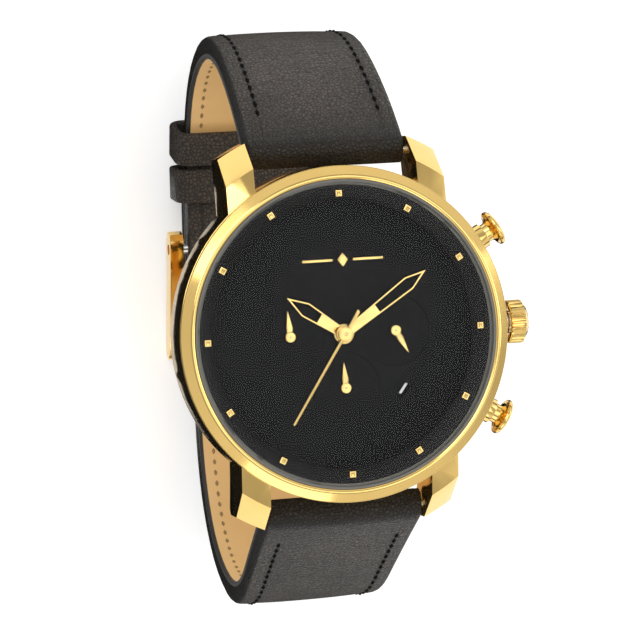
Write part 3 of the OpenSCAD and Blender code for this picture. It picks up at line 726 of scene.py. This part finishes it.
def roundedCopy(node, name, body, width, segments=2, angle=30, shade=32):
    # a merged copy of a CAD part whose edges get the small radius that polishing leaves
    source = cadNodes[node]
    deselectAll()
    piece = source.copy()
    piece.data = source.data.copy()
    piece.parent = None
    for key in list(piece.keys()):
        del piece[key]
    piece.name = name
    bpy.context.scene.collection.objects.link(piece)
    beginEdit(piece)
    bpy.ops.mesh.remove_doubles(threshold=1e-6)
    bpy.ops.mesh.dissolve_limited(angle_limit=math.radians(0.6))
    endEdit()
    if width > 0:
        applyModifier(piece, "BEVEL", width=width, segments=segments, limit_method="ANGLE",
                      angle_limit=math.radians(angle), harden_normals=False,
                      use_clamp_overlap=True)
    smoothByAngle(piece, shade)
    slotName = nodeSlot[node]
    return finishPiece(piece, body, finishes[slotName], slotName, node)


def lathe(name, outline, steps=192):
    # one point drawn out into an outline of (radius, height), then spun about Z
    deselectAll()
    bpy.ops.mesh.primitive_plane_add(size=0.001, location=(0, 0, 0))
    piece = bpy.context.object
    piece.name = name
    beginEdit(piece)
    bpy.ops.mesh.merge(type="CENTER")
    bpy.ops.transform.translate(value=(outline[0][0], 0, outline[0][1]))
    for (r0, z0), (r1, z1) in zip(outline, outline[1:]):
        bpy.ops.mesh.extrude_region_move(TRANSFORM_OT_translate={"value": (r1 - r0, 0, z1 - z0)})
    bpy.ops.mesh.select_all(action="SELECT")
    bpy.ops.mesh.spin(steps=steps, angle=2 * math.pi, center=(0, 0, 0), axis=(0, 0, 1))
    bpy.ops.mesh.select_all(action="SELECT")
    bpy.ops.mesh.remove_doubles(threshold=1e-6)
    bpy.ops.mesh.normals_make_consistent(inside=False)
    endEdit()
    return piece


def closedOutline(points):
    return [(r * mm, z * mm) for r, z in points] + [(points[0][0] * mm, points[0][1] * mm)]


# case, bezel, glass and dial furniture

markerDish = {"rim": 0.09 * mm, "slope": 0.25 * mm, "depth": 0.38 * mm}


def dishTops(blocks):
    # each marker's flat top is stepped down inside a narrow polished rim
    look = markerDish
    beginEdit(blocks, "FACE")
    bpy.ops.mesh.select_all(action="DESELECT")
    endEdit()
    for face in blocks.data.polygons:
        face.select = face.normal.z > 0.99 and face.area > 2e-7
    bpy.ops.object.mode_set(mode="EDIT")
    bpy.ops.mesh.inset(thickness=look["rim"], use_individual=True)
    bpy.ops.mesh.inset(thickness=look["slope"], depth=-look["depth"], use_individual=True)
    endEdit()
    smoothByAngle(blocks, 25)


def makeCase():
    roundedCopy("case_middle", "caseWall", "case", 0.12 * mm, 3)
    rim = [(21.67, 9.9), (22.3, 9.9), (22.42, 9.93), (22.48, 10.0), (22.5, 10.08), (22.5, 10.3),
           (22.49, 10.35), (22.46, 10.39), (22.41, 10.43), (22.38, 10.448), (21.36, 11.062),
           (21.33, 11.08), (21.2, 11.12), (21.07, 11.15),
           (20.95, 11.13), (20.84, 11.08), (20.72, 11.0), (20.67, 10.94), (20.66, 10.86),
           (20.66, 10.3), (21.67, 10.3)]
    bezel = lathe("bezelRing", closedOutline(rim))
    smoothByAngle(bezel, 25)
    finishPiece(bezel, "case", finishes["gold_case"], "gold_case", "bezel")
    glass = [(0.0, 11.3), (12, 11.3), (20.12, 11.3), (20.2, 11.28), (20.33, 11.17), (20.35, 11.1),
             (20.35, 10.42), (12, 10.42), (0.0, 10.42)]
    pane = lathe("crystalPane", [(r * mm, z * mm) for r, z in glass])
    smoothByAngle(pane, 25)
    finishPiece(pane, "case", finishes["crystal_glass"], "crystal_glass", "crystal")
    slope = [(18.06, 8.52), (19.9, 8.52), (19.9, 10.36), (19.74, 10.36), (19.66, 10.33),
             (18.12, 8.80), (18.08, 8.76), (18.06, 8.70)]
    ring = lathe("innerSlope", closedOutline(slope))
    smoothByAngle(ring, 25)
    finishPiece(ring, "case", finishes["ring_black"], "ring_black", "chapter_ring")
    blocks = roundedCopy("hour_markers", "hourBlocks", "case", 0.05 * mm, 2)
    dishTops(blocks)
    roundedCopy("dial_ornament", "dialLozenge", "case", 0.03 * mm, 2)
    roundedCopy("dial", "dialPlate", "case", 0.09 * mm, 2, 40)
    roundedCopy("case_back", "caseBackPlate", "case", 0.08 * mm, 2)
    roundedCopy("pusher_tubes", "pusherCollars", "case", 0.08 * mm, 2)
    print("case, bezel, glass and dial made")


def makeHands():
    for node, name, body, width in (
        ("hour_hand", "hourHand", "hour_train", 0.035),
        ("minute_hand", "minuteHand", "minute_train", 0.035),
        ("seconds_hand", "secondsHand", "seconds_train", 0.04),
        ("day_hand", "dayHand", "day_train", 0.03),
        ("chrono_hand", "stopSecondsHand", "chrono_train", 0.03),
        ("counter_hand", "stopMinutesHand", "counter_train", 0.03),
    ):
        roundedCopy(node, name, body, width * mm, 2)
    print("hands made")


dateNumerals = {"count": 31, "radius": 11.2 * mm, "height": 2.1 * mm, "slant": 0.28,
                "shown": 1, "shownAt": -45.0, "lean": 24.0, "lift": 0.03 * mm}


def makeDateNumerals():
    look = dateNumerals
    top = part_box("date_disc")[1].z
    made = []
    for number in range(1, look["count"] + 1):
        deselectAll()
        bpy.ops.object.text_add(location=(0, 0, 0))
        mark = bpy.context.object
        mark.data.body = str(number)
        mark.data.size = look["height"]
        mark.data.shear = look["slant"]
        mark.data.offset = 0.00007
        mark.data.extrude = look["lift"] / 2
        mark.data.align_x = "CENTER"
        mark.data.align_y = "CENTER"
        mark.data.resolution_u = 3
        angle = math.radians(look["shownAt"] + (number - look["shown"]) * 360 / look["count"])
        bpy.ops.object.convert(target="MESH")
        mark = bpy.context.object
        squeeze = 0.72 if number > 9 else 1.0
        place = (Matrix.Rotation(angle, 4, "Z")
                 @ Matrix.Translation((look["radius"], 0, top + look["lift"] / 2))
                 @ Matrix.Rotation(math.radians(look["lean"]), 4, "Z")
                 @ Matrix.Diagonal((squeeze, 1, 1, 1)))
        mark.data.transform(place)
        made.append(mark)
    deselectAll()
    for mark in made:
        mark.select_set(True)
    bpy.context.view_layer.objects.active = made[0]
    bpy.ops.object.join()
    numerals = bpy.context.object
    numerals.name = "dateNumerals"
    finishPiece(numerals, "date_disc", numeralPaint, "dial_black")
    print("date numerals made")


def makeTrim():
    roundedCopy("crown", "crownKnob", "crown", 0.07 * mm, 2)
    roundedCopy("pusher_2", "upperPusher", "pusher_2", 0.12 * mm, 3)
    roundedCopy("pusher_4", "lowerPusher", "pusher_4", 0.12 * mm, 3)
    roundedCopy("buckle_frame", "buckleRails", "buckle_frame", 0.55 * mm, 5, 40, 50)
    roundedCopy("buckle_tongue", "buckleProng", "buckle_tongue", 0.3 * mm, 4)
    roundedCopy("buckle_bar", "buckleRod", "case", 0.1 * mm, 2)
    print("crown, pushers and buckle made")


# the strap: its two courses, in mm, as (y, z, heading, way) at many points

upperStrap = {
    "start": (23.4, 4.1), "heading": -38.0, "side": 1,
    "arcs": [(20, -20), (18, -47), (16, -52), (9, -16), (9.6, 0)],
}
lowerStrap = {
    "start": (-23.4, 4.7), "heading": -122.0, "side": -1,
    "arcs": [(21.5, -2), (15, 46), (17, 52), (12, 26), (10, -8), (12.4, 0),
             (6, 15.5), (8, 0), (9, 14), (7, 12)],
}
strapSize = {
    "topWidth": 21.8, "endWidth": 20.0, "taperFrom": 8.0, "taperTo": -30.0,
    "rootThick": 4.8, "thick": 2.6, "tailThick": 2.0, "lining": 0.8,
    "flapWay": 58.5, "flapStep": 0.3, "rootThinning": 0.045, "tailFrom": 66.0,
    "tailThinning": 0.06,
    "tipLength": 11.0, "step": 0.5,
}


def layCourse(strap, pieces):
    y, z = strap["start"]
    heading = strap["heading"]
    way = 0.0
    points = [(y, z, heading, way)]
    for length, turn in strap["arcs"]:
        for _ in range(pieces):
            middle = math.radians(heading + turn / pieces / 2)
            y += length / pieces * math.cos(middle)
            z += length / pieces * math.sin(middle)
            heading += turn / pieces
            way += length / pieces
            points.append((y, z, heading, way))
    return points


for strap in (upperStrap, lowerStrap):
    strap["course"] = layCourse(strap, 6)
    strap["length"] = strap["course"][-1][3]


def spotOn(strap, way):
    # the course at any way along it, straight on past either end
    course = strap["course"]
    if way <= 0 or way >= strap["length"]:
        y, z, heading, at = course[0] if way <= 0 else course[-1]
        turned = math.radians(heading)
        return y + (way - at) * math.cos(turned), z + (way - at) * math.sin(turned), turned
    for a, b in zip(course, course[1:]):
        if b[3] >= way:
            share = (way - a[3]) / (b[3] - a[3])
            # headings are eased across each stretch, so the strap curves without corners
            return (a[0] + share * (b[0] - a[0]), a[1] + share * (b[1] - a[1]),
                    math.radians(a[2] + share * (b[2] - a[2])))


def halfWidth(z):
    size = strapSize
    share = (size["taperFrom"] - z) / (size["taperFrom"] - size["taperTo"])
    share = min(max(share, 0), 1)
    return (size["topWidth"] + share * (size["endWidth"] - size["topWidth"])) / 2


def upperThick(way):
    return max(strapSize["thick"], strapSize["rootThick"] - strapSize["rootThinning"] * way)


def lowerThick(way):
    size = strapSize
    if way < size["tailFrom"]:
        return upperThick(way)
    return max(size["tailThick"], size["thick"] - size["tailThinning"] * (way - size["tailFrom"]))


def easeEnd(distance, radius):
    # how far a rounded end has fallen away, at a distance in from it
    if distance >= radius:
        return 0.0
    return radius - math.sqrt(max(0.0, radius * radius - (radius - distance) ** 2))


def wrapRound(piece, strap, narrow):
    # flat strap coordinates (share across, way along and height out in mm) take their place
    # on the course
    for vertex in piece.data.vertices:
        across, way, out = vertex.co
        y, z, turned = spotOn(strap, way)
        out *= strap["side"]
        width = halfWidth(z) * narrow(way)
        vertex.co = Vector((across * width, y - math.sin(turned) * out,
                            z + math.cos(turned) * out)) * mm


# closely spaced ways where the leather rounds over at the lug
lugStations = [0, 0.12, 0.3, 0.55, 0.9, 1.3, 1.8]

# across the leather, as (share of the half width, drop below the crown in mm)
leatherCrown = [(0.0, 0.0), (0.2, 0.01), (0.4, 0.04), (0.55, 0.08), (0.66, 0.12), (0.74, 0.17),
                (0.765, 0.20), (0.785, 0.27), (0.805, 0.20), (0.84, 0.16), (0.885, 0.17),
                (0.905, 0.20), (0.915, 0.25), (0.925, 0.21), (0.95, 0.24), (0.972, 0.33),
                (0.988, 0.48), (0.997, 0.68)]


def strapLayer(name, start, end, topOf, bottomOf, crowned, stations=None):
    # a ring of points for the cross-section, drawn out along the strap station by station
    half = leatherCrown if crowned else [(0.0, 0.0), (0.5, 0.0), (0.8, 0.01), (0.95, 0.03),
                                         (0.985, 0.08), (0.997, 0.18)]
    top = [(-x, drop) for x, drop in reversed(half[1:])] + half
    count = len(top) + 7
    deselectAll()
    bpy.ops.mesh.primitive_circle_add(vertices=count, radius=1, fill_type="NOTHING")
    piece = bpy.context.object
    piece.name = name
    ways = stations or [start + (end - start) * i / round((end - start) / strapSize["step"])
                        for i in range(round((end - start) / strapSize["step"]) + 1)]
    beginEdit(piece)
    for near, far in zip(ways, ways[1:]):
        bpy.ops.mesh.extrude_region_move(TRANSFORM_OT_translate={"value": (0, 0, far - near)})
    endEdit()
    for index, way in enumerate(ways):
        high, low = topOf(way), bottomOf(way)
        scale = min(1.0, (high - low) / 1.4)
        ring = [(x, high - drop * scale) for x, drop in top]
        depth = high - low
        ring += [(1.0, high - 0.55 * depth), (0.997, low + 0.12 * depth), (0.985, low),
                 (0.0, low), (-0.985, low), (-0.997, low + 0.12 * depth),
                 (-1.0, high - 0.55 * depth)]
        for k, (x, out) in enumerate(ring):
            piece.data.vertices[index * count + k].co = (x, way, out)
    closeEnds(piece)
    return piece


def closeEnds(piece):
    beginEdit(piece, "EDGE")
    bpy.ops.mesh.select_all(action="DESELECT")
    bpy.ops.mesh.select_non_manifold(extend=False, use_wire=False, use_multi_face=False,
                                     use_non_contiguous=False, use_verts=False)
    bpy.ops.mesh.edge_face_add()
    bpy.ops.mesh.select_all(action="SELECT")
    bpy.ops.mesh.normals_make_consistent(inside=False)
    endEdit()


def chartStrap(piece):
    # keeps the flat coordinates, in metres, as a map that the leather's zones read
    layer = piece.data.uv_layers.new(name="strapMap")
    for loop in piece.data.loops:
        across, way, _ = piece.data.vertices[loop.vertex_index].co
        layer.data[loop.index].uv = (across, way * mm)


def makeUpperStrap():
    size = strapSize
    strap = upperStrap
    full = strap["length"]

    def top(way):
        thick = upperThick(way)
        return thick / 2 - easeEnd(way + 0.02, 2.0) - easeEnd(full + 1.42 - way, 1.5)

    def bottom(way):
        if way >= size["flapWay"]:
            return -size["thick"] / 2 - size["flapStep"] + easeEnd(full + 1.42 - way, 1.3)
        return size["lining"] - upperThick(way) / 2

    steps = int((full - 2.4) / size["step"])
    body = [2.3 + i * (full - 2.4) / steps for i in range(steps + 1)]
    body += [size["flapWay"] - 0.01]
    tail = [full + x for x in (0.3, 0.7, 1.0, 1.2, 1.34, 1.4)]
    ways = sorted(lugStations + body + tail)
    leather = strapLayer("upperLeather", 0, full, top, bottom, True, ways)
    chartStrap(leather)
    wrapRound(leather, strap, lambda way: 1.0)
    cutNotch(leather)
    smoothByAngle(leather, 50)
    finishPiece(leather, "case", finishes["leather_black"], "leather_black", "strap_upper")


def cutNotch(leather):
    # the slot at the fold, where the prong's loop sits round the rod
    low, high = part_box("buckle_tongue")
    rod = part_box("buckle_bar")
    middle = (rod[0] + rod[1]) / 2
    deselectAll()
    bpy.ops.mesh.primitive_cube_add(size=1, location=(0, middle.y - 0.0002, middle.z - 0.0005))
    block = bpy.context.object
    block.scale = (high.x - low.x + 0.0005, 0.0056, 0.010)
    cutWith(leather, [block])


def cutWith(piece, cutters):
    for cutter in cutters:
        applyModifier(piece, "BOOLEAN", operation="DIFFERENCE", solver="EXACT", object=cutter)
        bpy.data.objects.remove(cutter)


def tipShape(way):
    # the tail's rounded point
    left = (lowerStrap["length"] - way) / strapSize["tipLength"]
    if left >= 1:
        return 1.0
    return 0.30 + 0.70 * math.sqrt(max(0.0, 1 - (1 - left) ** 2.4))


tailHoles = {"length": 3.4, "width": 1.9, "spacing": 6.6, "count": 5,
             "used": 1, "usedLength": 6.6, "usedWidth": 2.5}


def makeLowerStrap():
    size = strapSize
    strap = lowerStrap
    full = strap["length"]

    def top(way):
        return lowerThick(way) / 2 - easeEnd(way + 0.02, 2.0) - easeEnd(full - way + 0.05, 0.7)

    def bottom(way):
        return size["lining"] - lowerThick(way) / 2

    steps = int((full - 3.5) / size["step"])
    ways = sorted(lugStations
                  + [2.3 + i * (full - 3.5) / steps for i in range(steps + 1)]
                  + [full - x for x in (0.8, 0.5, 0.25, 0.1, 0)])
    leather = strapLayer("lowerLeather", 0, full, top, bottom, True, ways)
    chartStrap(leather)
    punchHoles(leather)
    wrapRound(leather, strap, tipShape)
    smoothByAngle(leather, 50)
    finishPiece(leather, "case", finishes["leather_black"], "leather_black", "strap_lower")


def prongWay():
    # the way along the lower strap at which the prong comes through it
    low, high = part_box("buckle_tongue")
    wanted = (low.y * 0.45 + high.y * 0.55) / mm
    best = min((abs(p[0] - wanted), p[3]) for p in lowerStrap["course"]
               if p[3] > strapSize["tailFrom"])
    return best[1]


def punchHoles(piece):
    look = tailHoles
    middle = prongWay()
    cutters = []
    for index in range(look["count"]):
        way = middle + (index - look["used"]) * look["spacing"]
        deselectAll()
        bpy.ops.mesh.primitive_cylinder_add(vertices=20, radius=0.5, depth=8,
                                            location=(0, way, 0))
        punch = bpy.context.object
        stretched = index == look["used"]
        length = look["usedLength"] if stretched else look["length"]
        width = look["usedWidth"] if stretched else look["width"]
        punch.scale = (width / 10.0, length, 1)
        cutters.append(punch)
    cutWith(piece, cutters)


def makeLinings():
    size = strapSize
    lead = 1.0
    for name, strap, thick, end, narrow in (
        ("upperLining", upperStrap, upperThick, size["flapWay"] - 0.1, lambda way: 0.992),
        ("lowerLining", lowerStrap, lowerThick, lowerStrap["length"] - 0.35,
         lambda way: tipShape(way) * 0.985),
    ):
        lining = strapLayer(
            name, lead, end,
            lambda way, thick=thick: size["lining"] - thick(way) / 2,
            lambda way, thick=thick: -thick(way) / 2 + easeEnd(way - lead + 0.02, 0.7), False)
        chartStrap(lining)
        if strap is lowerStrap:
            punchHoles(lining)
        wrapRound(lining, strap, narrow)
        smoothByAngle(lining, 50)
        finishPiece(lining, "case", finishes["leather_tan"], "leather_tan",
                    *(["strap_linings"] if strap is upperStrap else []))


stitching = {"pitch": 1.72, "length": 1.34, "radius": 0.29, "share": 0.785, "from": 7.0,
             "sink": 0.34, "bury": 0.20}


def makeStitches():
    look = stitching
    for name, strap, thick, end, narrow, inner in (
        ("upperStitches", upperStrap, upperThick, upperStrap["length"] - 2.0, lambda way: 1.0,
         False),
        ("lowerStitches", lowerStrap, lowerThick, lowerStrap["length"] - 3.0, tipShape, False),
        ("upperInnerStitches", upperStrap, upperThick, upperStrap["length"] - 15.0,
         lambda way: 1.0, True),
        ("lowerInnerStitches", lowerStrap, lowerThick, lowerStrap["length"] - 3.0, tipShape, True),
    ):
        deselectAll()
        bpy.ops.mesh.primitive_cylinder_add(vertices=6, radius=look["radius"],
                                            depth=look["length"], end_fill_type="TRIFAN",
                                            rotation=(math.pi / 2, 0, 0))
        first = bpy.context.object
        bpy.ops.object.transform_apply(rotation=True)
        beginEdit(first, "FACE")
        bpy.ops.mesh.subdivide(number_cuts=1)
        endEdit()
        half = look["length"] / 2
        for vertex in first.data.vertices:
            share = abs(vertex.co.y) / half
            vertex.co.z -= look["sink"] * share ** 2.5  # the ends go down into their holes
            vertex.co.x *= (1 - 0.25 * share) / halfWidth(0)
            vertex.co.z *= 1.0 if not inner else 0.6
        copies = [first]
        way = look["from"]
        while way < end:
            for side in (-1, 1):
                copy = first.copy()
                copy.data = first.data.copy()
                bpy.context.scene.collection.objects.link(copy)
                if inner:
                    out = -thick(way) / 2 + 0.02
                    copy.data.transform(Matrix.Rotation(math.pi, 4, "Y"))
                else:
                    out = thick(way) / 2 - look["bury"]
                copy.data.transform(Matrix.Translation((side * look["share"], way, out)))
                copies.append(copy)
            way += look["pitch"]
        bpy.data.objects.remove(first)
        copies = copies[1:]
        deselectAll()
        for copy in copies:
            copy.select_set(True)
        bpy.context.view_layer.objects.active = copies[0]
        bpy.ops.object.join()
        row = bpy.context.object
        row.name = name
        wrapRound(row, strap, narrow)
        smoothByAngle(row, 60)
        finishPiece(row, "case", tanThread if inner else thread, "leather_black")


keeperSize = {"length": 5.0, "width": 23.4, "wall": 1.1, "corner": 2.3}


def makeKeeper(name, node, body, way, inFace, outFace):
    # a leather band: a tube with round corners gets its wall, then soft edges
    look = keeperSize
    spot = next(p for p in upperStrap["course"] if p[3] >= way)
    deselectAll()
    bpy.ops.mesh.primitive_cube_add(size=1, location=(0, 0, 0))
    band = bpy.context.object
    band.name = name
    wide = look["width"]
    tall = outFace - inFace + 2 * look["wall"]
    band.scale = (wide * mm, look["length"] * mm, tall * mm)
    bpy.ops.object.transform_apply(scale=True)
    beginEdit(band, "FACE")
    bpy.ops.mesh.select_all(action="DESELECT")
    endEdit()
    for face in band.data.polygons:
        face.select = abs(face.normal.y) > 0.5
    bpy.ops.object.mode_set(mode="EDIT")
    bpy.ops.mesh.delete(type="FACE")
    endEdit()
    for edge in band.data.edges:
        a, b = (band.data.vertices[i].co for i in edge.vertices)
        edge.select = abs(a.y - b.y) > 0.001
    bpy.ops.object.mode_set(mode="EDIT")
    bpy.ops.mesh.select_mode(type="EDGE")
    bpy.ops.mesh.bevel(offset=look["corner"] * mm, segments=6)
    endEdit()
    applyModifier(band, "SOLIDIFY", thickness=look["wall"] * mm, offset=-1)
    applyModifier(band, "BEVEL", width=0.38 * mm, segments=4, limit_method="ANGLE",
                  angle_limit=math.radians(50))
    beginEdit(band, "FACE")
    bpy.ops.mesh.subdivide(number_cuts=1)
    endEdit()
    turned = math.radians(spot[2])
    along = Vector((0, math.cos(turned), math.sin(turned)))
    out = Vector((0, -math.sin(turned), math.cos(turned)))
    lift = (inFace + outFace) / 2
    layer = band.data.uv_layers.new(name="strapMap")
    for loop in band.data.loops:
        layer.data[loop.index].uv = (0.5, 0.02)
    for vertex in band.data.vertices:
        x, y, z = vertex.co
        vertex.co = (Vector((x, 0, 0)) + Vector((0, spot[0], spot[1])) * mm
                     + along * y + out * (z + lift * mm))
    smoothByAngle(band, 60)
    finishPiece(band, body, finishes["leather_black"], "leather_black", node)


makeCase()
makeHands()
makeDateNumerals()
makeTrim()
makeUpperStrap()
makeLowerStrap()
makeLinings()
makeStitches()
makeKeeper("sewnKeeper", "fixed_keeper", "case", 55.5, -1.9, 3.8)
makeKeeper("slidingKeeper", "free_keeper", "free_keeper", 61.5, -1.8, 3.85)
print("strap, stitching and keepers made")
